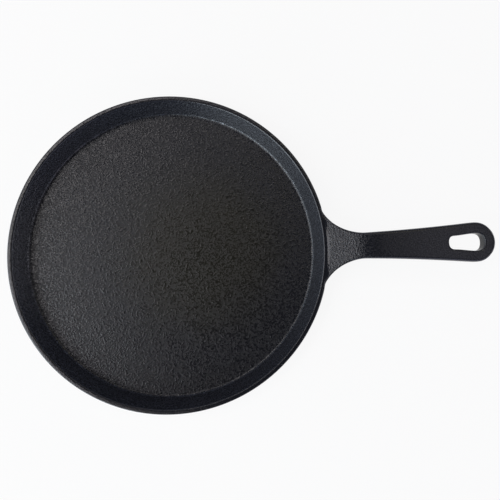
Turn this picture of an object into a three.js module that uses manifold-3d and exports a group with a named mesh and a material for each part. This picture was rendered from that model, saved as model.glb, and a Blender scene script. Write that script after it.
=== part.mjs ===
// A round cast-iron griddle: a flat floor, a low sloped wall with a rounded lip, and one long handle that
// flares out of the wall, rises to a flat grip and ends in a round tip with a tapered hanging slot.
// Millimetres, +Z up. The origin is on the pan's axis, in the flat base that stands on the hob, and the
// handle runs along +X. The griddle is one pour of iron, divided here into floor, wall and handle.
import * as THREE from "three";
import { mergeVertices } from "three/addons/utils/BufferGeometryUtils.js";
import Module from "manifold-3d";

// Pan
const RIM_RADIUS = 133.5; // outermost line of the lip
const PAN_DEPTH = 15; // floor to the top of the lip
const FLOOR_THICKNESS = 4.5;
const LIP_WIDTH = 3.8; // outermost line of the lip in to the wall's inner slope
const LIP_EDGE_RADIUS = 1.2; // both edges of the lip
const INNER_DRAFT = 25; // degrees that the wall leans out from upright, inside
const OUTER_DRAFT = 18; // the same, outside
const FOOT_FILLET = 2.6; // inside corner between floor and wall
const BASE_FILLET = 6; // outside corner between base and wall
const FLOOR_MARGIN = 1; // flat floor that stays with the wall, inside both fillets

// Handle outline, seen from above
const HANDLE_REACH = 136.9; // lip to tip
const ROOT_WIDTH = 70; // where the flare leaves the lip
const ROOT_PULL = 16.7; // how long the flare hugs the lip before it turns outwards
const ROOT_SINK = 0.4; // how deep the flare starts inside the wall
const ROOT_BURY = 14; // how far the handle runs on into the pan before it is trimmed
const ROOT_GAP = 0.3; // left between the trimmed root and the wall
const NECK_REACH = 29; // lip to the narrowest place
const NECK_WIDTH = 21.6;
const NECK_PULL = 11.5; // how long the flare runs along the neck
const NECK_TAPER = 1.9; // degrees that each side opens at the neck
const END_TAPER = 5.4; // the same where the side meets the round end
const END_RADIUS = 16.7;

// Handle heights, seen from the side
const RAMP_ANGLE = 23.5; // degrees that the top climbs from the lip
const RAMP_OVERLAP = 1.8; // how far inside the lip's outer edge the climb starts
const RAMP_LENGTH = 29.3; // lip to where the climb would meet the grip
const GRIP_ANGLE = 0.7; // degrees that the grip still climbs
const BEND_LENGTH = 22; // length over which the climb turns into the grip
const GRIP_THICKNESS = 8;
const ROOT_LIFT = 8; // base up to the underside, below the lip's outermost line
const TOP_EDGE_RADIUS = 2.2;
const UNDER_EDGE_RADIUS = 3;

// Hanging slot
const SLOT_LENGTH = 29.8;
const SLOT_WIDE_RADIUS = 7.1; // round end towards the tip
const SLOT_NARROW_RADIUS = 5.5; // round end towards the pan
const SLOT_END_WALL = 9.5; // iron between the slot and the tip
const SLOT_EDGE_RADIUS = 1.4;
const SLOT_EDGE_SWEEP = 60; // degrees of the rounding that the slot's edge keeps
const SLOT_OVERSHOOT = 0.5; // how far the cut runs past each face

// Fineness of the facets
const TURN_STEPS = 96;
const CORNER_STEPS = 6;
const FLARE_STEPS = 16;
const FLANK_STEPS = 10;
const TIP_STEPS = 10;
const SLOT_STEPS = 10;
const EDGE_STEPS = 4;
const MERGE_DISTANCE = 1e-3;

// Colours
const FLOOR_COLOUR = 0x333231;
const WALL_COLOUR = 0x2a2b2f;
const HANDLE_COLOUR = 0x2c2b2f;
const IRON_ROUGHNESS = 0.5;
const IRON_METALNESS = 0.35;

const tangent = (degrees) => Math.tan(THREE.MathUtils.degToRad(degrees));
const direction = (degrees) =>
  new THREE.Vector2(1, 0).rotateAround(new THREE.Vector2(), THREE.MathUtils.degToRad(degrees));

// Places worked out from the sizes. A rounding is no larger than its wall can hold.
const LIP_TOP = FLOOR_THICKNESS + PAN_DEPTH;
const lipEdge = Math.min(LIP_EDGE_RADIUS, LIP_WIDTH / 2);
const footFillet = Math.min(FOOT_FILLET, PAN_DEPTH);
const baseFillet = Math.min(BASE_FILLET, LIP_TOP);
const topEdge = Math.min(TOP_EDGE_RADIUS, GRIP_THICKNESS / 3);
const underEdge = Math.min(UNDER_EDGE_RADIUS, GRIP_THICKNESS / 2);
const FLOOR_RADIUS = RIM_RADIUS - LIP_WIDTH - PAN_DEPTH * tangent(INNER_DRAFT);
const LIP_CORNER = RIM_RADIUS + lipEdge * (tangent(45 + OUTER_DRAFT / 2) - 1);
const BASE_RADIUS = LIP_CORNER - LIP_TOP * tangent(OUTER_DRAFT);
const FOOT_START = FLOOR_RADIUS - footFillet * tangent((90 - INNER_DRAFT) / 2);
const BASE_EDGE = BASE_RADIUS - baseFillet * tangent((90 - OUTER_DRAFT) / 2);
const PLATE_RADIUS = Math.min(FOOT_START, BASE_EDGE) - FLOOR_MARGIN;
const TIP = RIM_RADIUS + HANDLE_REACH;
const NECK = new THREE.Vector2(RIM_RADIUS + NECK_REACH, NECK_WIDTH / 2);

const wasm = await Module();
wasm.setup();

// A closed surface as a solid for joining and cutting.
function solidOf(geometry) {
  const bare = geometry.clone();
  bare.deleteAttribute("normal");
  bare.deleteAttribute("uv");
  const merged = mergeVertices(bare, MERGE_DISTANCE);
  const triVerts = [];
  for (let i = 0; i < merged.index.count; i += 3) {
    const [a, b, c] = [0, 1, 2].map((k) => merged.index.getX(i + k));
    if (a !== b && b !== c && c !== a) triVerts.push(a, b, c);
  }
  const mesh = new wasm.Mesh({
    numProp: 3,
    vertProperties: merged.attributes.position.array,
    triVerts: new Uint32Array(triVerts),
  });
  return new wasm.Manifold(mesh);
}

function geometryOf(solid) {
  const mesh = solid.getMesh();
  const geometry = new THREE.BufferGeometry();
  geometry.setAttribute("position", new THREE.BufferAttribute(mesh.vertProperties, 3));
  geometry.setIndex(new THREE.BufferAttribute(mesh.triVerts, 1));
  geometry.computeVertexNormals();
  return geometry;
}

// Points of a profile whose corners are [radius, height, fillet]; a corner without a fillet stays sharp.
function filletedProfile(corners) {
  const places = corners.map(([r, z]) => new THREE.Vector2(r, z));
  return corners.flatMap(([, , fillet], i) => {
    const corner = places[i];
    if (!fillet) return [corner];
    const before = places[i - 1].clone().sub(corner).normalize();
    const after = places[i + 1].clone().sub(corner).normalize();
    const half = Math.acos(before.dot(after)) / 2;
    const start = before.clone().multiplyScalar(fillet / Math.tan(half)).add(corner);
    const middle = before.clone().add(after).setLength(fillet / Math.sin(half)).add(corner);
    const turn = Math.sign(before.cross(after)) * (Math.PI - 2 * half);
    const steps = Array.from({ length: CORNER_STEPS + 1 }, (_, k) => k / CORNER_STEPS);
    return steps.map((share) => start.clone().rotateAround(middle, -share * turn));
  });
}

// A profile turned about the pan's axis.
function turned(profile) {
  return new THREE.LatheGeometry(profile, TURN_STEPS).rotateX(Math.PI / 2);
}

// A closed skin over rings of equal count. Point k of a ring faces point count - 1 - k across the ring.
function loft(rings) {
  const count = rings[0].length;
  const triangles = [];
  const quad = (a, b, c, d) => triangles.push(a, b, c, a, c, d);
  for (let ring = 0; ring < rings.length - 1; ring++) {
    for (let k = 0; k < count; k++) {
      const here = ring * count;
      const next = (k + 1) % count;
      quad(here + k, here + next, here + count + next, here + count + k);
    }
  }
  const last = (rings.length - 1) * count;
  for (let k = 0; k < count / 2 - 1; k++) {
    const across = count - 1 - k;
    quad(across, across - 1, k + 1, k);
    quad(last + k, last + k + 1, last + across - 1, last + across);
  }
  const geometry = new THREE.BufferGeometry().setFromPoints(rings.flat());
  return geometry.setIndex(triangles);
}

// Corners of the outer slope from the lip down to the base, moved out by a growth.
function outerSlope(growth) {
  const half = OUTER_DRAFT / 2;
  return [
    [LIP_CORNER + growth * tangent(45 + half), LIP_TOP + growth, lipEdge + growth],
    [BASE_RADIUS + growth * tangent(45 - half), -growth, baseFillet + growth],
  ];
}

// The wall: up the inner slope, over the lip and down the outer slope.
function rimWall() {
  const corners = [
    [PLATE_RADIUS, 0],
    [PLATE_RADIUS, FLOOR_THICKNESS],
    [FLOOR_RADIUS, FLOOR_THICKNESS, footFillet],
    [RIM_RADIUS - LIP_WIDTH, LIP_TOP, lipEdge],
    ...outerSlope(0),
    [PLATE_RADIUS, 0],
  ];
  return turned(filletedProfile(corners).reverse());
}

function cookingPlate() {
  const profile = [
    [0, 0],
    [PLATE_RADIUS, 0],
    [PLATE_RADIUS, FLOOR_THICKNESS],
    [0, FLOOR_THICKNESS],
  ];
  return turned(profile.map(([r, z]) => new THREE.Vector2(r, z)));
}

// The pan with its hollow filled, grown by the gap that the handle's root keeps to it.
function filledPan() {
  const corners = [[0, LIP_TOP + ROOT_GAP], ...outerSlope(ROOT_GAP), [0, -ROOT_GAP]];
  return turned(filletedProfile(corners).reverse());
}

// Height of a line that climbs, bends smoothly and then follows the grip.
function bentLine(climb, bendAt, bendHeight) {
  return (x) => {
    const slopeBefore = tangent(climb);
    const slopeAfter = tangent(GRIP_ANGLE);
    const along = x - bendAt;
    const half = BEND_LENGTH / 2;
    if (along <= -half) return bendHeight + along * slopeBefore;
    if (along >= half) return bendHeight + along * slopeAfter;
    const round = ((slopeAfter - slopeBefore) * (along + half) ** 2) / (2 * BEND_LENGTH);
    return bendHeight + along * slopeBefore + round;
  };
}

const bendAt = RIM_RADIUS + RAMP_LENGTH;
const bendTop = LIP_TOP + (RAMP_LENGTH + RAMP_OVERLAP) * tangent(RAMP_ANGLE);
const bendUnder = bendTop - GRIP_THICKNESS;
const underClimb = bendUnder - ROOT_LIFT;
const underAngle = THREE.MathUtils.radToDeg(Math.atan2(underClimb, RAMP_LENGTH));
const topAt = bentLine(RAMP_ANGLE, bendAt, bendTop);
const underAt = bentLine(underAngle, bendAt, bendUnder);

// Places along a curve, each with the direction into the iron on its right hand.
function sampled(curve, steps) {
  return Array.from({ length: steps + 1 }, (_, k) => {
    const along = curve.getTangent(k / steps);
    return { place: curve.getPoint(k / steps), inwards: new THREE.Vector2(along.y, -along.x) };
  });
}

// One side of the handle from the wall to the tip: the flare, the grip's flank and half of the round end.
function handleSide() {
  const startRadius = RIM_RADIUS - ROOT_SINK;
  const startAngle = Math.asin(ROOT_WIDTH / 2 / startRadius);
  const start = new THREE.Vector2(startRadius, 0).rotateAround(new THREE.Vector2(), startAngle);
  const alongLip = new THREE.Vector2(start.y, -start.x).setLength(ROOT_PULL);
  const beforeNeck = direction(NECK_TAPER).multiplyScalar(-NECK_PULL);
  const flare = new THREE.CubicBezierCurve(
    start,
    start.clone().add(alongLip),
    NECK.clone().add(beforeNeck),
    NECK,
  );

  const endCentre = TIP - END_RADIUS;
  const shoulder = direction(90 + END_TAPER).multiplyScalar(END_RADIUS);
  shoulder.x += endCentre;
  const rise = shoulder.y - NECK.y - (shoulder.x - NECK.x) * tangent(END_TAPER);
  const crossing = rise / (tangent(NECK_TAPER) - tangent(END_TAPER));
  const crossingPlace = new THREE.Vector2(crossing, crossing * tangent(NECK_TAPER)).add(NECK);
  const flank = new THREE.QuadraticBezierCurve(NECK, crossingPlace, shoulder);

  const shoulderAngle = THREE.MathUtils.degToRad(90 + END_TAPER);
  const tip = new THREE.EllipseCurve(endCentre, 0, END_RADIUS, END_RADIUS, shoulderAngle, 0, true);

  return [
    ...sampled(flare, FLARE_STEPS),
    ...sampled(flank, FLANK_STEPS).slice(1),
    ...sampled(tip, TIP_STEPS).slice(1),
  ];
}

// The rounding of the handle's edges: how far in from the outline, and how far from the top or underside.
function edgeSteps(radius) {
  return Array.from({ length: EDGE_STEPS + 1 }, (_, k) => {
    const angle = (k / EDGE_STEPS) * (Math.PI / 2);
    return { inset: radius * (1 - Math.sin(angle)), away: radius * (1 - Math.cos(angle)) };
  });
}

// The solid bar: at each place of the side a ring runs up one side and down the other.
// Towards the root the sides lean with the wall, so that the flare leaves it alike at every height.
function handleBar() {
  const side = handleSide();
  const rootPlace = side[0].place.x;
  const rings = side.map(({ place, inwards }) => {
    const lean = 1 - THREE.MathUtils.smoothstep(place.x, rootPlace, NECK.x);
    const point = (inset, heightAt, away) => {
      const x = place.x + inwards.x * inset;
      const z = heightAt(x) + away;
      const drawnIn = Math.max(0, LIP_TOP - z) * tangent(OUTER_DRAFT) * lean;
      return new THREE.Vector3(x - drawnIn, place.y + inwards.y * inset, z);
    };
    const top = edgeSteps(topEdge).map((step) => point(step.inset, topAt, -step.away));
    const under = edgeSteps(underEdge).map((step) => point(step.inset, underAt, step.away));
    const near = [...under, ...top.reverse()];
    const far = near.map((p) => new THREE.Vector3(p.x, -p.y, p.z)).reverse();
    return [...near, ...far];
  });
  const buried = rings[0].map((p) => new THREE.Vector3(p.x - ROOT_BURY, p.y, p.z));
  return loft([buried, ...rings]);
}

// Outline of the tapered slot, grown by an offset, from one end of its axis round to the other and back.
function slotOutline(offset) {
  const wideAt = TIP - SLOT_END_WALL - SLOT_WIDE_RADIUS;
  const narrowAt = TIP - SLOT_END_WALL - SLOT_LENGTH + SLOT_NARROW_RADIUS;
  const split = Math.acos((SLOT_WIDE_RADIUS - SLOT_NARROW_RADIUS) / (wideAt - narrowAt));
  const wideEnd = Math.PI - split;
  const arc = (centre, radius, from, to) =>
    Array.from({ length: SLOT_STEPS + 1 }, (_, k) => {
      const angle = from + ((to - from) * k) / SLOT_STEPS;
      return new THREE.Vector2(centre + radius * Math.cos(angle), radius * Math.sin(angle));
    });
  const half = [
    ...arc(wideAt, SLOT_WIDE_RADIUS + offset, 0, wideEnd),
    ...arc(narrowAt, SLOT_NARROW_RADIUS + offset, wideEnd, Math.PI),
  ];
  return [...half, ...half.map((p) => new THREE.Vector2(p.x, -p.y)).reverse()];
}

// The cutter for the slot: straight through the middle, opening out in a round at each face.
function slotCutter() {
  const sweep = THREE.MathUtils.degToRad(SLOT_EDGE_SWEEP);
  const rounding = Array.from({ length: EDGE_STEPS + 1 }, (_, k) => {
    const angle = (k / EDGE_STEPS) * sweep;
    const offset = SLOT_EDGE_RADIUS * (1 - Math.cos(angle));
    return { offset, below: SLOT_EDGE_RADIUS * (1 - Math.sin(angle)) };
  });
  const last = rounding.at(-1);
  const flare = (last.below + SLOT_OVERSHOOT) * Math.tan(sweep);
  rounding.push({ offset: last.offset + flare, below: -SLOT_OVERSHOOT });
  const ring = ({ offset, below }, heightAt, sign) =>
    slotOutline(offset).map((p) => new THREE.Vector3(p.x, p.y, heightAt(p.x) + sign * below));
  const lower = rounding.map((step) => ring(step, underAt, 1)).reverse();
  const upper = rounding.map((step) => ring(step, topAt, -1));
  return loft([...lower, ...upper]);
}

function handle() {
  const bar = solidOf(handleBar());
  const trimmed = bar.subtract(solidOf(filledPan()));
  return geometryOf(trimmed.subtract(solidOf(slotCutter())));
}

const griddle = new THREE.Group();

function addRegion(name, geometry, color) {
  const finish = { color, roughness: IRON_ROUGHNESS, metalness: IRON_METALNESS };
  const iron = new THREE.MeshStandardMaterial(finish);
  const mesh = new THREE.Mesh(geometry, iron);
  mesh.name = name;
  griddle.add(mesh);
}

addRegion("cooking_plate", cookingPlate(), FLOOR_COLOUR);
addRegion("rim_wall", rimWall(), WALL_COLOUR);
addRegion("handle", handle(), HANDLE_COLOUR);

export default griddle;
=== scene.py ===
"""Round cast-iron griddle: a shallow pan and a long handle with a hanging slot, cast in one piece.

The pan's section is spun about its axis, the handle is drawn out of the wall ring by ring, and subdivision
rounds the whole off, so that floor, wall, lip and handle are one skin, as they are in the iron.
Metres, +Z up: the base stands on z = 0, the pan's axis is Z and the handle runs along +X.
"""
import math
from typing import NamedTuple

import bmesh
import bpy
from bpy.props import FloatProperty, FloatVectorProperty, PointerProperty
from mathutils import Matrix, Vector
from mathutils.geometry import interpolate_bezier


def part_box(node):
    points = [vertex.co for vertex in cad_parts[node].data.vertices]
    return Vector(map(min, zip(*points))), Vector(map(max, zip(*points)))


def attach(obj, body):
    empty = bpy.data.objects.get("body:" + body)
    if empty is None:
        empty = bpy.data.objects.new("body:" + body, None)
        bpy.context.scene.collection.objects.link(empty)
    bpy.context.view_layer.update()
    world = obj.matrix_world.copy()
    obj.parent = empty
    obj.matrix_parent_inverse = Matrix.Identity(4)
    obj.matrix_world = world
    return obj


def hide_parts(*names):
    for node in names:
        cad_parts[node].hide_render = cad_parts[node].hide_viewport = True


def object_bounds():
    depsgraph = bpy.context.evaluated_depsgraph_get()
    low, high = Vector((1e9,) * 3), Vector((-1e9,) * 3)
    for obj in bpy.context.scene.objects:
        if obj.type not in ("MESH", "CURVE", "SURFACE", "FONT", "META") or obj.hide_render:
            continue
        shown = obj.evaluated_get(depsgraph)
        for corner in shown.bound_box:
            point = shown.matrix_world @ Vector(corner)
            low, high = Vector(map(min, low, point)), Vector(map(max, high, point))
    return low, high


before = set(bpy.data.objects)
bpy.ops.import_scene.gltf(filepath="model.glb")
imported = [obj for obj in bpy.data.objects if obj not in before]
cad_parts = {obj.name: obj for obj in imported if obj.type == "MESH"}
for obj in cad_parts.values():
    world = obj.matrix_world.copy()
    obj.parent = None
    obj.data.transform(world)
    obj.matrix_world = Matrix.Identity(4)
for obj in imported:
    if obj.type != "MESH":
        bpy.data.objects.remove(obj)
CAD_LOW, CAD_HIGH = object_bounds()

bl_info = {
    "name": "Round griddle",
    "version": (1, 0, 0),
    "blender": (4, 5, 0),
    "location": "View3D > Sidebar > Griddle",
    "description": "Casts a round iron griddle with a long handle and sets it in a plain studio",
    "category": "Add Mesh",
}

MM = 0.001
CLEAR = 0.03 * MM  # how far the skin stays inside the frame's box
PLATE_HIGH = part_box("cooking_plate")[1]
WALL_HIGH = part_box("rim_wall")[1]
HANDLE_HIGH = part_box("handle")[1]

# Fineness of the mesh before it is subdivided
PAN_COLUMNS = 120
ROOT_COLUMNS = 5  # columns of the wall on each side of the handle's middle that run out into it
SLOT_COLUMNS = 3  # of these, the columns on each side that the slot takes
CORNER_CUTS = 4  # cuts across each rounding of the pan's section and the handle's top
FLARE_RINGS = 16
FLANK_RINGS = 14
SLOT_RINGS = 4  # rings that the slot's length takes up at the end of the flank
END_RINGS = 3
CAP_HALF_ANGLE = math.radians(36)
SLOT_ARC_STEP = math.radians(26)
SLOT_BLUNTNESS = 0.78  # power on the round ends' sines and cosines: 1 leaves them round, less squares them
SLOT_CUTS = 2  # cuts across the rounding of the slot's edges
SMOOTHING_LEVELS = 2
SUPPORT = 1.3 * MM  # distance of a holding loop from the rounding that it holds
HOLD_ROOM = 3  # a line of the section takes a holding loop if it is longer than this many holds
FIRST_RING = 2 * SUPPORT  # distance of the flare's first ring from the crease at the lip
UNDER_ROW = CORNER_CUTS + 2  # last row of a ring, past the top's rounding and a holding loop
LIP_OUTSIDE, BASE_CORNER = 3, 4  # places of two corners in the pan's section
TOLERANCE = 0.01 * MM
FACES_OUT = 0.05  # least lean of a face's normal away from the axis that counts as facing out

# Camera, in metres and radians, and the frame that its focal length is given in
CAMERA_PLACE = (51.133 * MM, -17.948 * MM, 343.733 * MM)
CAMERA_TURN = (0.055451, -0.045043, -0.032434)
FOCAL_PIXELS = 385.58
FRAME_PIXELS = 500
SENSOR = 36

# Finish, with sizes in metres
OIL_IOR = 1.5  # index of refraction of the baked oil
PEBBLE_DETAIL = 1  # finer layers in the noise of the pebbles
SAND_DETAIL = 2  # in that of the sand
CLOUD_DETAIL = 3  # and in that of the clouds
SAND_FINENESS = 3  # grains of sand along one pebble
SAND_SHARE = 0.1  # height of the sand as a share of the pebbles'
NOISE_MEAN = 0.5
GRAIN_SPAN = 0.11  # how far the grain's noise swings to either side of its mean
FOOT_WEAR = 0.35  # share of the grain that is gone along the foot
WALL_WEAR = 0.45  # on the wall
LIP_WEAR = 0.65  # on the lip
GRIP_WEAR = 0.8  # and on the grip
LIP_POLISH = 0.45  # share of the dullness that is gone on the lip
FLAT = (1, 1, 0)  # lays a place down on the base's plane
CLOUD_SIZE = 36 * MM
# Warmer, slightly lighter tone given to the floor's middle, centred a little towards the handle
WARM_MIDDLE_CENTRE = (25 * MM, 0, 0)
WARM_MIDDLE_CORE = 45 * MM
WARM_MIDDLE_EDGE = 112 * MM
WARM_MIDDLE_DRIFT = 30 * MM  # how far the clouds push the edge of the warmer middle in and out
CLOUD_SHADE = 0.3  # how much darker the iron is where the clouds are thinnest

# Studio
FLOOR_HALF = 3
FLOOR_DROP = 0.2 * MM
SEEN_RAYS = ("Is Camera Ray", "Is Glossy Ray", "Is Transmission Ray")
EVEN_WHITE = 0.9  # share of the floor's look that is an even white
DARK_FROM = math.radians(18)  # lift above the horizon from which the studio is dark
LAMP_DISTANCE = 2.4


class Lamp(NamedTuple):
    """A soft box: bearing from +X and lift in degrees, width and height in metres, tint and watts."""

    name: str
    bearing: float
    lift: float
    wide: float
    high: float
    tint: tuple
    power: float


LAMPS = (
    Lamp("high_grip", 0, 56, 1.1, 0.55, (0.9, 0.87, 1), 1.5),
    Lamp("high_back_right", 48, 56, 1.1, 0.55, (1, 0.95, 0.8), 2.6),
    Lamp("high_back", 95, 56, 1.1, 0.55, (1, 0.94, 0.97), 2.3),
    Lamp("high_back_left", 130, 56, 1.1, 0.55, (1, 0.95, 0.97), 5.3),
    Lamp("high_left", 165, 56, 1.1, 0.55, (1, 0.97, 0.94), 4.9),
    Lamp("high_front_left", 200, 56, 1.1, 0.55, (0.95, 0.9, 1), 3.9),
    Lamp("high_front", 235, 56, 1.1, 0.55, (1, 0.93, 0.93), 2.7),
    Lamp("window_left", 175, 42, 0.8, 0.62, (0.85, 0.85, 1), 3.8),
    Lamp("window_front_left", 200, 42, 0.8, 0.62, (0.86, 0.96, 1), 9.4),
    Lamp("side_left", 180, 25, 1.7, 0.8, (0.9, 0.96, 1), 8),
    Lamp("side_front_left", 225, 25, 1.7, 0.8, (0.95, 1, 0.95), 14),
    Lamp("side_front_right", 315, 25, 1.7, 0.8, (0.85, 0.8, 1), 6),
    Lamp("low_grip", 0, 8, 2, 0.59, (1, 0.97, 1), 8),
    Lamp("low_left", 180, 8, 2, 0.59, (0.8, 0.92, 1), 11),
    Lamp("low_front_left", 225, 8, 2, 0.59, (0.76, 0.88, 1), 40),
)


class PanSizes(bpy.types.PropertyGroup):
    """Sizes of the pan"""

    rim_radius: FloatProperty(
        name="Rim radius",
        description="Axis to the outermost line of the lip",
        default=WALL_HIGH.y - CLEAR,
        unit="LENGTH",
    )
    lip_top: FloatProperty(
        name="Lip height",
        description="Base to the top of the lip",
        default=WALL_HIGH.z - CLEAR,
        unit="LENGTH",
    )
    floor_height: FloatProperty(
        name="Floor height",
        description="Base to the cooking floor",
        default=PLATE_HIGH.z,
        unit="LENGTH",
    )
    lip_width: FloatProperty(
        name="Lip width",
        description="Outermost line in to the inner slope",
        default=3.8 * MM,
        unit="LENGTH",
    )
    lip_rounding: FloatProperty(
        name="Lip rounding",
        description="Radius of both edges of the lip",
        default=1.2 * MM,
        unit="LENGTH",
    )
    inner_draft: FloatProperty(
        name="Inner draft",
        description="Lean of the wall inside",
        default=math.radians(25),
        unit="ROTATION",
    )
    outer_draft: FloatProperty(
        name="Outer draft",
        description="Lean of the wall outside",
        default=math.radians(18),
        unit="ROTATION",
    )
    foot_rounding: FloatProperty(
        name="Foot rounding",
        description="Radius between floor and wall",
        default=2.6 * MM,
        unit="LENGTH",
    )
    base_rounding: FloatProperty(
        name="Base rounding", description="Radius between wall and base", default=6 * MM, unit="LENGTH"
    )


class HandleSizes(bpy.types.PropertyGroup):
    """Sizes of the handle and its slot"""

    tip: FloatProperty(
        name="Tip",
        description="Axis to the tip",
        default=HANDLE_HIGH.x - CLEAR,
        unit="LENGTH",
    )
    root_pull: FloatProperty(
        name="Root pull",
        description="How long the flare hugs the lip",
        default=16.7 * MM,
        unit="LENGTH",
    )
    root_lift: FloatProperty(
        name="Root lift",
        description="Base to the underside, at the wall",
        default=8 * MM,
        unit="LENGTH",
    )
    neck_reach: FloatProperty(
        name="Neck reach", description="Lip to the narrowest place", default=29 * MM, unit="LENGTH"
    )
    neck_width: FloatProperty(
        name="Neck width", description="Width at the narrowest place", default=21.6 * MM, unit="LENGTH"
    )
    neck_pull: FloatProperty(
        name="Neck pull",
        description="How long the flare runs along the neck",
        default=11.5 * MM,
        unit="LENGTH",
    )
    neck_taper: FloatProperty(
        name="Neck taper",
        description="Opening of each side at the neck",
        default=math.radians(1.9),
        unit="ROTATION",
    )
    end_taper: FloatProperty(
        name="End taper",
        description="Opening of each side at the end",
        default=math.radians(5.4),
        unit="ROTATION",
    )
    end_radius: FloatProperty(
        name="End radius", description="Radius of the round end", default=16.7 * MM, unit="LENGTH"
    )
    ramp_angle: FloatProperty(
        name="Ramp angle",
        description="Climb of the top from the lip",
        default=math.radians(23.5),
        unit="ROTATION",
    )
    ramp_overlap: FloatProperty(
        name="Ramp overlap",
        description="Lip's edge in to the start of the climb",
        default=1.8 * MM,
        unit="LENGTH",
    )
    ramp_length: FloatProperty(
        name="Ramp length",
        description="Lip to the bend into the grip",
        default=29.3 * MM,
        unit="LENGTH",
    )
    grip_angle: FloatProperty(
        name="Grip angle", description="Climb of the grip", default=math.radians(0.7), unit="ROTATION"
    )
    bend_length: FloatProperty(
        name="Bend length",
        description="Length of the bend into the grip",
        default=22 * MM,
        unit="LENGTH",
    )
    thickness: FloatProperty(
        name="Grip thickness", description="Top to underside of the grip", default=8 * MM, unit="LENGTH"
    )
    top_rounding: FloatProperty(
        name="Top rounding", description="Radius of the upper edges", default=2.2 * MM, unit="LENGTH"
    )
    under_rounding: FloatProperty(
        name="Under rounding", description="Radius of the lower edges", default=3 * MM, unit="LENGTH"
    )
    slot_length: FloatProperty(
        name="Slot length", description="Length of the hanging slot", default=29.8 * MM, unit="LENGTH"
    )
    slot_wide: FloatProperty(
        name="Wide end",
        description="Radius of the slot towards the tip",
        default=7.1 * MM,
        unit="LENGTH",
    )
    slot_narrow: FloatProperty(
        name="Narrow end",
        description="Radius of the slot towards the pan",
        default=5.5 * MM,
        unit="LENGTH",
    )
    slot_end_wall: FloatProperty(
        name="End wall",
        description="Iron between the slot and the tip",
        default=9.5 * MM,
        unit="LENGTH",
    )
    slot_rounding: FloatProperty(
        name="Slot rounding",
        description="Rounding of the slot's edges",
        default=1.1 * MM,
        unit="LENGTH",
    )


class IronFinish(bpy.types.PropertyGroup):
    """Look of the seasoned iron"""

    iron_colour: FloatVectorProperty(
        name="Iron",
        description="Colour of the blackened iron",
        default=(0.0125, 0.013, 0.0165),
        subtype="COLOR",
    )
    # Colour of the warmer, slightly lighter tone given to the floor's middle
    warm_middle_colour: FloatVectorProperty(
        name="Warm middle",
        description="Warmer tone in the floor's middle",
        default=(0.016, 0.015, 0.0115),
        subtype="COLOR",
    )
    top_roughness: FloatProperty(
        name="Tops",
        description="Dullness of the oil on the tops of the pebbles",
        default=0.08,
        subtype="FACTOR",
    )
    hollow_roughness: FloatProperty(
        name="Hollows",
        description="Dullness of the oil between the pebbles",
        default=0.48,
        subtype="FACTOR",
    )
    roughness_drift: FloatProperty(
        name="Roughness drift",
        description="How much the dullness varies",
        default=0.04,
        subtype="FACTOR",
    )
    grain_size: FloatProperty(
        name="Grain size",
        description="Size of the pebbles left by the sand",
        default=1.3 * MM,
        unit="LENGTH",
    )
    grain_depth: FloatProperty(
        name="Grain depth", description="Height of the pebbles", default=0.45 * MM, unit="LENGTH"
    )


class StudioSettings(bpy.types.PropertyGroup):
    """Light of the studio"""

    floor_colour: FloatVectorProperty(
        name="Floor", description="Colour of the floor", default=(0.86, 0.86, 0.86), subtype="COLOR"
    )
    horizon_colour: FloatVectorProperty(
        name="Horizon",
        description="Colour of the light from low all round",
        default=(0.65, 0.73, 1),
        subtype="COLOR",
    )
    horizon: FloatProperty(name="Horizon strength", description="Strength of that light", default=2.1)
    lamps: FloatProperty(
        name="Lamps", description="Strength of all soft boxes together", default=1, subtype="FACTOR"
    )


# Small measures


def swell(step):
    """How much larger a ring of corners is drawn, a step apart, so that subdivision brings it to size."""
    return 3 / (2 + math.cos(step))


def mix(start, end, share):
    """The value or point at a share of the way between two."""
    return start + (end - start) * share


def blunt(share):
    """A sine or cosine raised so that the circle that it draws is squared off."""
    return math.copysign(abs(share) ** SLOT_BLUNTNESS, share)


def ease(share):
    """A share from 0 to 1 with a soft start and end."""
    share = min(max(share, 0), 1)
    return share * share * (3 - 2 * share)


# Pan


def pan_section(pan):
    """Corners of the section from the floor's middle over the lip to the base's, with their roundings."""
    depth = pan.lip_top - pan.floor_height
    lip_inside = pan.rim_radius - pan.lip_width
    lip_outside = pan.rim_radius + pan.lip_rounding * (math.tan(math.pi / 4 + pan.outer_draft / 2) - 1)
    return [
        (Vector((0, pan.floor_height)), 0),
        (Vector((lip_inside - depth * math.tan(pan.inner_draft), pan.floor_height)), pan.foot_rounding),
        (Vector((lip_inside, pan.lip_top)), pan.lip_rounding),
        (Vector((lip_outside, pan.lip_top)), pan.lip_rounding),
        (Vector((lip_outside - pan.lip_top * math.tan(pan.outer_draft), 0)), pan.base_rounding),
        (Vector((0, 0)), 0),
    ]


def rounding_reach(section, index):
    """How far the rounding of a corner runs along the two lines that meet there."""
    place, rounding = section[index]
    before = section[index - 1][0] - place
    after = section[index + 1][0] - place
    return rounding / math.tan(before.angle(after) / 2)


def held_section(section):
    """Points of the section: its corners, and beside each rounding the places of the loops that hold it."""
    points = [section[0][0]]
    for index in range(1, len(section) - 1):
        place = section[index][0]
        hold = rounding_reach(section, index) + SUPPORT
        before = section[index - 1][0] - place
        after = section[index + 1][0] - place
        room = HOLD_ROOM * hold
        if before.length > room:
            points.append(place + before.normalized() * hold)
        points.append(place)
        if after.length > room:
            points.append(place + after.normalized() * hold)
    points.append(section[-1][0])
    return points


def outer_wall_place(pan, height):
    """The point of the outer slope at a height."""
    lip_outside = pan_section(pan)[LIP_OUTSIDE][0]
    return Vector((lip_outside.x - (pan.lip_top - height) * math.tan(pan.outer_draft), height))


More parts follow.
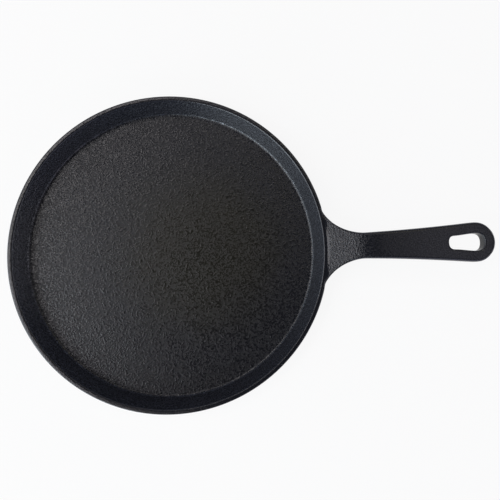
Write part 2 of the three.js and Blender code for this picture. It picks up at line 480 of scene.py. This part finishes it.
def turn_section(mesh, points):
    """Spins the section into the closed pan."""
    corners = [mesh.verts.new((point.x, 0, point.y)) for point in points]
    edges = [mesh.edges.new(pair) for pair in zip(corners, corners[1:])]
    bmesh.ops.spin(
        mesh,
        geom=corners + edges,
        cent=(0, 0, 0),
        axis=(0, 0, 1),
        dvec=(0, 0, 0),
        angle=2 * math.pi,
        steps=PAN_COLUMNS,
        use_merge=True,
        use_duplicate=False,
    )
    bmesh.ops.remove_doubles(mesh, verts=mesh.verts, dist=TOLERANCE)
    bmesh.ops.recalc_face_normals(mesh, faces=mesh.faces)


def round_corner(mesh, section, index):
    """Rounds the ring that a corner of the section has become."""
    place = section[index][0]

    def on_ring(vert):
        return abs(vert.co.xy.length - place.x) < TOLERANCE and abs(vert.co.z - place.y) < TOLERANCE

    bmesh.ops.bevel(
        mesh,
        geom=[edge for edge in mesh.edges if all(on_ring(vert) for vert in edge.verts)],
        offset=rounding_reach(section, index),
        offset_type="OFFSET",
        affect="EDGES",
        segments=CORNER_CUTS,
        profile=0.5,
        material=-1,
    )


def build_pan(mesh, pan, handle):
    """The pan, with a loop round its outside at the height where the handle's underside leaves it."""
    section = pan_section(pan)
    points = held_section(section)
    lowest_hold = points.index(section[BASE_CORNER][0]) - 1
    points.insert(lowest_hold, outer_wall_place(pan, handle.root_lift))
    turn_section(mesh, points)
    for index in range(1, len(section) - 1):
        round_corner(mesh, section, index)


# Handle


class HandleForm:
    """The handle's outline from above and its heights from the side."""

    def __init__(self, pan, handle):
        self.pan = pan
        self.handle = handle
        self.neck = Vector((pan.rim_radius + handle.neck_reach, handle.neck_width / 2))
        self.end_centre = handle.tip - handle.end_radius
        self.shoulder_angle = math.pi / 2 + handle.end_taper
        self.bend = pan.rim_radius + handle.ramp_length
        climb = (handle.ramp_length + handle.ramp_overlap) * math.tan(handle.ramp_angle)
        self.bend_top = pan.lip_top + climb
        self.bend_under = self.bend_top - handle.thickness
        self.crease = pan.rim_radius - handle.ramp_overlap

    def bent_height(self, x, slope, bend_height):
        """Height of a line that climbs at a slope, bends smoothly and then follows the grip."""
        grip_slope = math.tan(self.handle.grip_angle)
        along = x - self.bend
        half = self.handle.bend_length / 2
        if along >= half:
            return bend_height + along * grip_slope
        bent = max(along + half, 0) ** 2 * (grip_slope - slope) / (4 * half)
        return bend_height + along * slope + bent

    def top(self, x):
        return self.bent_height(x, math.tan(self.handle.ramp_angle), self.bend_top)

    def under(self, x):
        slope = (self.bend_under - self.handle.root_lift) / self.handle.ramp_length
        return self.bent_height(x, slope, self.bend_under)

    def end_point(self, angle, radius):
        """A point of the round end, by its angle from the handle's axis."""
        return Vector((self.end_centre + radius * math.cos(angle), radius * math.sin(angle)))

    def flare(self):
        """Points of the side from the lip to the neck."""
        root_angle = 2 * math.pi * ROOT_COLUMNS / PAN_COLUMNS
        outwards = Vector((math.cos(root_angle), math.sin(root_angle)))
        along_lip = Vector((outwards.y, -outwards.x))
        start = outwards * self.pan.rim_radius
        taper = Vector((math.cos(self.handle.neck_taper), math.sin(self.handle.neck_taper)))
        return interpolate_bezier(
            start,
            start + along_lip * self.handle.root_pull,
            self.neck - taper * self.handle.neck_pull,
            self.neck,
            FLARE_RINGS + 1,
        )

    def flank(self):
        """Points of the side from the neck to the round end."""
        shoulder = self.end_point(self.shoulder_angle, self.handle.end_radius)
        near = math.tan(self.handle.neck_taper)
        far = math.tan(self.handle.end_taper)
        span = shoulder - self.neck
        run = (span.y - span.x * far) / (near - far)
        crossing = self.neck + Vector((run, run * near))
        return interpolate_bezier(
            self.neck,
            mix(self.neck, crossing, 2 / 3),
            mix(shoulder, crossing, 2 / 3),
            shoulder,
            FLANK_RINGS + 1,
        )

    def end_angles(self):
        """Angles of the rings round the end, and last of the cap's edge."""
        return [mix(self.shoulder_angle, CAP_HALF_ANGLE, k / END_RINGS) for k in range(1, END_RINGS + 1)]

    def side(self):
        """Places along one side from the lip to the cap, each with the direction into the iron."""
        step = (self.shoulder_angle - CAP_HALF_ANGLE) / END_RINGS
        radius = self.handle.end_radius * swell(step)
        end = [self.end_point(angle, radius) for angle in self.end_angles()]
        points = [*self.flare(), *self.flank()[1:], *end]
        places = []
        for before, place, after in zip(points, points[1:], points[2:] + [Vector((self.handle.tip, 0))]):
            along = (after - before).normalized()
            places.append((place, Vector((along.y, -along.x))))
        return places

    def slot_centres(self):
        """Places of the slot's two round ends on the axis: the narrow one and the wide one."""
        outer = self.handle.tip - self.handle.slot_end_wall
        narrow = outer - self.handle.slot_length + self.handle.slot_narrow
        return narrow, outer - self.handle.slot_wide

    def slot_point(self, ring, column):
        """Where a column of the mesh lies in one of the rings that the slot takes, counted from the pan."""
        narrow, wide = self.slot_centres()
        narrow_radius = self.handle.slot_narrow * swell(SLOT_ARC_STEP)
        wide_radius = self.handle.slot_wide * swell(SLOT_ARC_STEP)
        angle = column * SLOT_ARC_STEP
        corner = Vector((blunt(math.cos(angle)), blunt(math.sin(angle))))
        near_end = Vector((narrow - narrow_radius * corner.x, narrow_radius * corner.y))
        far_end = Vector((wide + wide_radius * corner.x, wide_radius * corner.y))
        if ring == 0:
            return near_end
        if ring == SLOT_RINGS:
            return far_end
        past = (SLOT_COLUMNS + 1) * SLOT_ARC_STEP
        corner = Vector((blunt(math.cos(past)), blunt(math.sin(past))))
        first = Vector((narrow - narrow_radius * corner.x, narrow_radius * corner.y))
        last = Vector((wide + wide_radius * corner.x, wide_radius * corner.y))
        edge = mix(first, last, (ring - 1) / (SLOT_RINGS - 2))
        return Vector((edge.x, edge.y * column / SLOT_COLUMNS))


def handle_rings(form):
    """For each ring of the handle, the place of each column and the direction into the iron there."""
    rings = []
    side = form.side()
    first_slot = FLARE_RINGS + FLANK_RINGS - SLOT_RINGS + 1
    nothing = Vector((0, 0))
    slot_tip = form.handle.tip - form.handle.slot_end_wall
    for index, (edge, inwards) in enumerate(side, 1):
        columns = {}
        slot_ring = index - first_slot
        middle = edge.x
        if index <= FLARE_RINGS:
            middle = mix(form.crease + FIRST_RING, form.neck.x, (index - 1) / (FLARE_RINGS - 1))
        if index == len(side) - 1:
            middle = mix(slot_tip, form.handle.tip, 1 / 2)
        for column in range(-ROOT_COLUMNS, ROOT_COLUMNS + 1):
            share = column / ROOT_COLUMNS
            place = Vector((mix(middle, edge.x, share * share), edge.y * share))
            if 0 <= slot_ring <= SLOT_RINGS:
                lane = max(min(column, SLOT_COLUMNS), -SLOT_COLUMNS)
                place = form.slot_point(slot_ring, lane)
                outer_edge = Vector((edge.x, math.copysign(edge.y, column)))
                place = mix(place, outer_edge, (abs(column) - abs(lane)) / (ROOT_COLUMNS - SLOT_COLUMNS))
            columns[column] = (place, nothing)
        for sign in (-1, 1):
            mirrored = Vector((1, sign))
            columns[sign * ROOT_COLUMNS] = (edge * mirrored, inwards * mirrored)
        rings.append(columns)
    cap = {}
    for column in range(-ROOT_COLUMNS, ROOT_COLUMNS + 1):
        angle = CAP_HALF_ANGLE * column / ROOT_COLUMNS
        outwards = Vector((math.cos(angle), math.sin(angle)))
        cap[column] = (form.end_point(angle, form.handle.end_radius), -outwards)
    rings[-1] = cap
    return rings


def ring_point(form, columns, column, row):
    """The point of a ring at a column and a row."""
    handle = form.handle
    place, inwards = columns[column]
    edge = columns[ROOT_COLUMNS][0]
    root = form.flare()[0].x
    progress = ease((edge.x - root) / (form.neck.x - root))
    rounding = mix(form.pan.lip_rounding, handle.top_rounding, progress)
    angle = min(row / CORNER_CUTS, 1) * math.pi / 2
    place = place + inwards * rounding * (1 - math.sin(angle))
    height = form.top(place.x) - rounding * (1 - math.cos(angle))
    if row > CORNER_CUTS:
        height = form.under(place.x) + handle.under_rounding * (UNDER_ROW - row)
    drawn_in = max(form.pan.lip_top - height, 0) * math.tan(form.pan.outer_draft) * (1 - progress)
    return Vector((place.x - drawn_in, place.y, height))


def root_faces(mesh, handle):
    """The faces of the outer wall and lip that the handle is drawn from."""
    half_angle = 2 * math.pi * ROOT_COLUMNS / PAN_COLUMNS
    mesh.normal_update()
    faces = []
    for face in mesh.faces:
        middle = face.calc_center_median()
        outwards = middle.xy.normalized()
        ahead = abs(math.atan2(middle.y, middle.x)) < half_angle
        if ahead and middle.z > handle.root_lift and face.normal.xy.dot(outwards) > FACES_OUT:
            faces.append(face)
    return faces


def build_handle(mesh, pan, handle):
    """Draws the handle out of the wall, ring by ring, and cuts its slot."""
    form = HandleForm(pan, handle)
    column_of = mesh.verts.layers.int.new("column")
    row_of = mesh.verts.layers.int.new("row")
    ring_of = mesh.verts.layers.int.new("ring")
    crease_of = mesh.edges.layers.float.new("crease_edge")
    region = root_faces(mesh, handle)
    corners = {vert for face in region for vert in face.verts}
    heights = sorted({round(vert.co.z / TOLERANCE) for vert in corners}, reverse=True)
    for vert in corners:
        turn = math.atan2(vert.co.y, vert.co.x) / (2 * math.pi)
        vert[column_of] = round(turn * PAN_COLUMNS)
        vert[row_of] = heights.index(round(vert.co.z / TOLERANCE))

    def on_crease(vert):
        return vert[row_of] == 0 and abs(vert[column_of]) < ROOT_COLUMNS

    borders = {edge for face in region for edge in face.edges}
    creases = [edge for edge in borders if all(on_crease(vert) for vert in edge.verts)]
    for index, columns in enumerate(handle_rings(form), 1):
        drawn = bmesh.ops.extrude_face_region(mesh, geom=region)["geom"]
        bmesh.ops.delete(mesh, geom=region, context="FACES")
        region = [item for item in drawn if isinstance(item, bmesh.types.BMFace)]
        for vert in {vert for face in region for vert in face.verts}:
            vert[ring_of] = index
            vert.co = ring_point(form, columns, vert[column_of], vert[row_of])
    for edge in creases:
        edge[crease_of] = 1

    first = FLARE_RINGS + FLANK_RINGS - SLOT_RINGS + 1

    def in_slot(vert, row):
        beside = abs(vert[column_of]) <= SLOT_COLUMNS and vert[row_of] == row
        return beside and first <= vert[ring_of] <= first + SLOT_RINGS

    for row in (0, UNDER_ROW):
        lid = [face for face in mesh.faces if all(in_slot(vert, row) for vert in face.verts)]
        bmesh.ops.delete(mesh, geom=lid, context="FACES")
    rims = [edge for edge in mesh.edges if edge.is_boundary]
    bmesh.ops.bridge_loops(mesh, edges=rims)
    bmesh.ops.bevel(
        mesh,
        geom=rims,
        offset=handle.slot_rounding,
        offset_type="OFFSET",
        affect="EDGES",
        segments=SLOT_CUTS,
        profile=0.5,
        material=-1,
    )
    bmesh.ops.recalc_face_normals(mesh, faces=mesh.faces)


# Finish


class Field:
    """The value of one socket in a material. Arithmetic on it adds Math nodes."""

    def __init__(self, finish, socket):
        self.finish = finish
        self.socket = socket

    def math(self, operation, first, second):
        return self.finish.node("ShaderNodeMath", {"operation": operation}, {0: first, 1: second})

    def __add__(self, other):
        return self.math("ADD", self, other)

    def __radd__(self, other):
        return self.math("ADD", other, self)

    def __sub__(self, other):
        return self.math("SUBTRACT", self, other)

    def __rsub__(self, other):
        return self.math("SUBTRACT", other, self)

    def __mul__(self, other):
        return self.math("MULTIPLY", self, other)

    def __rmul__(self, other):
        return self.math("MULTIPLY", other, self)


class Finish:
    """A material or a world under construction."""

    def __init__(self, owner):
        owner.use_nodes = True
        self.owner = owner
        self.tree = owner.node_tree
        self.tree.nodes.clear()

    def node(self, kind, settings, inputs, output=0):
        """Adds a node by its type, its settings and its sockets' values or links, and gives an output."""
        made = self.tree.nodes.new(kind)
        for name, value in settings.items():
            setattr(made, name, value)
        for key, value in inputs.items():
            if isinstance(value, Field):
                self.tree.links.new(value.socket, made.inputs[key])
            else:
                made.inputs[key].default_value = value
        return Field(self, made.outputs[output]) if made.outputs else None

    def noise(self, place, scale, detail):
        """Cloudy noise from 0 to 1, with its scale in features per metre."""
        inputs = {"Vector": place, "Scale": scale, "Detail": detail}
        return self.node("ShaderNodeTexNoise", {}, inputs, "Fac")

    def spread(self, value, low, high, new_low, new_high):
        """A value carried from one range to another, smoothly and held at both ends."""
        inputs = {"Value": value, 1: low, 2: high, 3: new_low, 4: new_high}
        return self.node("ShaderNodeMapRange", {"interpolation_type": "SMOOTHSTEP"}, inputs)

    def blend(self, share, first, second):
        """A colour between two by a share."""
        return self.node("ShaderNodeMix", {"data_type": "RGBA"}, {0: share, 6: first, 7: second}, 2)


def section_zones(finish, from_axis, pan):
    """Shares that rise from 0 to 1 where the foot, the wall, the lip and the outside begin."""
    lip_inside = pan.rim_radius - pan.lip_width
    foot = lip_inside - (pan.lip_top - pan.floor_height) * math.tan(pan.inner_draft)
    half = pan.foot_rounding / 2
    starts = (foot - pan.foot_rounding, foot, lip_inside - half, pan.rim_radius)
    return [finish.spread(from_axis, start, start + half, 0, 1) for start in starts]


def rubbed_grip(finish, from_axis, pan, handle):
    """How far the grip is rubbed, from 0 to 1, from the bend outwards."""
    bend = pan.rim_radius + handle.ramp_length
    half_bend = handle.bend_length / 2
    return finish.spread(from_axis, bend - half_bend, bend + half_bend, 0, 1)


def seasoned_iron(look, pan, handle):
    """Black seasoned iron: pebbled by the sand that it was cast in, with a satin coat of baked oil."""
    finish = Finish(bpy.data.materials.new("griddle_iron"))
    place = finish.node("ShaderNodeTexCoord", {}, {}, "Object")
    laid = finish.node("ShaderNodeVectorMath", {"operation": "MULTIPLY"}, {0: place, 1: FLAT})
    from_axis = finish.node("ShaderNodeVectorMath", {"operation": "LENGTH"}, {0: laid}, "Value")
    to_warm_middle = {0: laid, 1: WARM_MIDDLE_CENTRE}
    from_warm_middle = finish.node("ShaderNodeVectorMath", {"operation": "DISTANCE"}, to_warm_middle, "Value")
    pebbles = finish.noise(place, 1 / look.grain_size, PEBBLE_DETAIL) - NOISE_MEAN
    sand = finish.noise(place, SAND_FINENESS / look.grain_size, SAND_DETAIL) - NOISE_MEAN
    clouds = finish.noise(place, 1 / CLOUD_SIZE, CLOUD_DETAIL)
    foot, wall, lip, outside = section_zones(finish, from_axis, pan)
    wear = (foot - wall) * FOOT_WEAR + (wall - lip) * WALL_WEAR + (lip - outside) * LIP_WEAR
    wear = wear + rubbed_grip(finish, from_axis, pan, handle) * GRIP_WEAR
    grain = (pebbles + sand * SAND_SHARE) * (1 - wear)
    bump = finish.node("ShaderNodeBump", {}, {"Strength": 1, "Distance": look.grain_depth, "Height": grain})
    # warmer, slightly lighter tone over the floor's middle, with its edge frayed by the clouds
    warm_middle = finish.spread(from_warm_middle + clouds * WARM_MIDDLE_DRIFT, WARM_MIDDLE_CORE, WARM_MIDDLE_EDGE, 1, 0)
    black = (*look.iron_colour, 1)
    shade = (*(part * (1 - CLOUD_SHADE) for part in look.iron_colour), 1)
    colour = finish.blend(warm_middle, finish.blend(clouds, shade, black), (*look.warm_middle_colour, 1))
    dullness = finish.spread(grain, -GRAIN_SPAN, GRAIN_SPAN, look.hollow_roughness, look.top_roughness)
    drift = (clouds - NOISE_MEAN) * look.roughness_drift
    roughness = (dullness + drift) * (1 - (lip - outside) * LIP_POLISH)
    surface = finish.node(
        "ShaderNodeBsdfPrincipled",
        {},
        {"Base Color": colour, "Roughness": roughness, "Normal": bump, "IOR": OIL_IOR},
    )
    finish.node("ShaderNodeOutputMaterial", {}, {"Surface": surface})
    return finish.owner


def studio_floor(settings):
    """White paper that keeps a faint shadow, and that camera and gloss see as an even white."""
    finish = Finish(bpy.data.materials.new("studio_floor"))
    seen = sum(finish.node("ShaderNodeLightPath", {}, {}, name) for name in SEEN_RAYS)
    paper = finish.node("ShaderNodeBsdfDiffuse", {}, {"Color": (*settings.floor_colour, 1)})
    white = finish.node("ShaderNodeEmission", {}, {"Color": (1, 1, 1, 1), "Strength": 1})
    surface = finish.node("ShaderNodeMixShader", {}, {0: seen * EVEN_WHITE, 1: paper, 2: white})
    finish.node("ShaderNodeOutputMaterial", {}, {"Surface": surface})
    return finish.owner


# Light


def studio_air(settings):
    """A world that is bright all round at the horizon and dark overhead."""
    finish = Finish(bpy.data.worlds.new("studio_air"))
    direction = finish.node("ShaderNodeTexCoord", {}, {}, "Generated")
    height = finish.node("ShaderNodeSeparateXYZ", {}, {0: direction}, "Z")
    strength = finish.spread(height, 0, math.sin(DARK_FROM), settings.horizon, 0)
    colour = (*settings.horizon_colour, 1)
    air = finish.node("ShaderNodeBackground", {}, {"Color": colour, "Strength": strength})
    finish.node("ShaderNodeOutputWorld", {}, {"Surface": air})
    return finish.owner


def soft_box(lamp, strength):
    """A soft box that faces the pan's axis."""
    light = bpy.data.lights.new(lamp.name, "AREA")
    light.shape = "RECTANGLE"
    light.size = lamp.wide
    light.size_y = lamp.high
    light.color = lamp.tint
    light.energy = lamp.power * strength
    box = bpy.data.objects.new(lamp.name, light)
    bearing, lift = math.radians(lamp.bearing), math.radians(lamp.lift)
    away = Vector((math.cos(lift) * math.cos(bearing), math.cos(lift) * math.sin(bearing), math.sin(lift)))
    box.location = away * LAMP_DISTANCE
    box.visible_camera = False
    box.rotation_euler = away.to_track_quat("Z", "Y").to_euler()
    return box


# Operators


class GRIDDLE_OT_casting(bpy.types.Operator):
    """Casts the griddle: pan, handle and slot in one skin"""

    bl_idname = "griddle.casting"
    bl_label = "Cast the griddle"

    def execute(self, context):
        scene = context.scene
        skin = bmesh.new()
        build_pan(skin, scene.griddle_pan, scene.griddle_handle)
        build_handle(skin, scene.griddle_pan, scene.griddle_handle)
        for face in skin.faces:
            face.smooth = True
        data = bpy.data.meshes.new("griddle_casting")
        skin.to_mesh(data)
        skin.free()
        casting = bpy.data.objects.new("griddle_casting", data)
        scene.collection.objects.link(casting)
        smoothing = casting.modifiers.new("Smoothing", "SUBSURF")
        smoothing.levels = SMOOTHING_LEVELS
        smoothing.render_levels = SMOOTHING_LEVELS
        iron = seasoned_iron(scene.griddle_finish, scene.griddle_pan, scene.griddle_handle)
        data.materials.append(iron)
        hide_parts("cooking_plate", "rim_wall", "handle")
        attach(casting, "root")
        return {"FINISHED"}


class GRIDDLE_OT_studio(bpy.types.Operator):
    """Sets up the floor, the light and the camera"""

    bl_idname = "griddle.studio"
    bl_label = "Set up the studio"

    def execute(self, context):
        scene = context.scene
        settings = scene.griddle_studio
        sheet = bmesh.new()
        bmesh.ops.create_grid(sheet, x_segments=1, y_segments=1, size=FLOOR_HALF)
        bmesh.ops.translate(sheet, verts=sheet.verts, vec=(0, 0, CAD_LOW[2] - FLOOR_DROP))
        data = bpy.data.meshes.new("studio_floor")
        sheet.to_mesh(data)
        sheet.free()
        data.materials.append(studio_floor(settings))
        floor = bpy.data.objects.new("studio_floor", data)
        scene.collection.objects.link(floor)

        scene.world = studio_air(settings)
        scene.view_settings.view_transform = "Standard"
        for lamp in LAMPS:
            scene.collection.objects.link(soft_box(lamp, settings.lamps))

        camera = bpy.data.cameras.new("overhead")
        camera.sensor_width = SENSOR
        camera.lens = SENSOR * FOCAL_PIXELS / FRAME_PIXELS
        view = bpy.data.objects.new("overhead", camera)
        view.location = CAMERA_PLACE
        view.rotation_euler = CAMERA_TURN
        scene.collection.objects.link(view)
        scene.camera = view
        return {"FINISHED"}


class GRIDDLE_PT_sidebar(bpy.types.Panel):
    """Lists the griddle's sizes and operators"""

    bl_idname = "GRIDDLE_PT_sidebar"
    bl_label = "Griddle"
    bl_space_type = "VIEW_3D"
    bl_region_type = "UI"
    bl_category = "Griddle"

    def draw(self, context):
        for operator in OPERATORS:
            self.layout.operator(operator.bl_idname)
        scene = context.scene
        for group in (scene.griddle_pan, scene.griddle_handle, scene.griddle_finish, scene.griddle_studio):
            for name in group.__annotations__:
                self.layout.prop(group, name)


OPERATORS = (GRIDDLE_OT_casting, GRIDDLE_OT_studio)
CLASSES = (PanSizes, HandleSizes, IronFinish, StudioSettings, *OPERATORS, GRIDDLE_PT_sidebar)


def register():
    for item in CLASSES:
        bpy.utils.register_class(item)
    bpy.types.Scene.griddle_pan = PointerProperty(type=PanSizes)
    bpy.types.Scene.griddle_handle = PointerProperty(type=HandleSizes)
    bpy.types.Scene.griddle_finish = PointerProperty(type=IronFinish)
    bpy.types.Scene.griddle_studio = PointerProperty(type=StudioSettings)


def unregister():
    del bpy.types.Scene.griddle_studio
    del bpy.types.Scene.griddle_finish
    del bpy.types.Scene.griddle_handle
    del bpy.types.Scene.griddle_pan
    for item in reversed(CLASSES):
        bpy.utils.unregister_class(item)


def main():
    register()
    bpy.ops.griddle.casting()
    bpy.ops.griddle.studio()


if __name__ == "__main__":
    main()
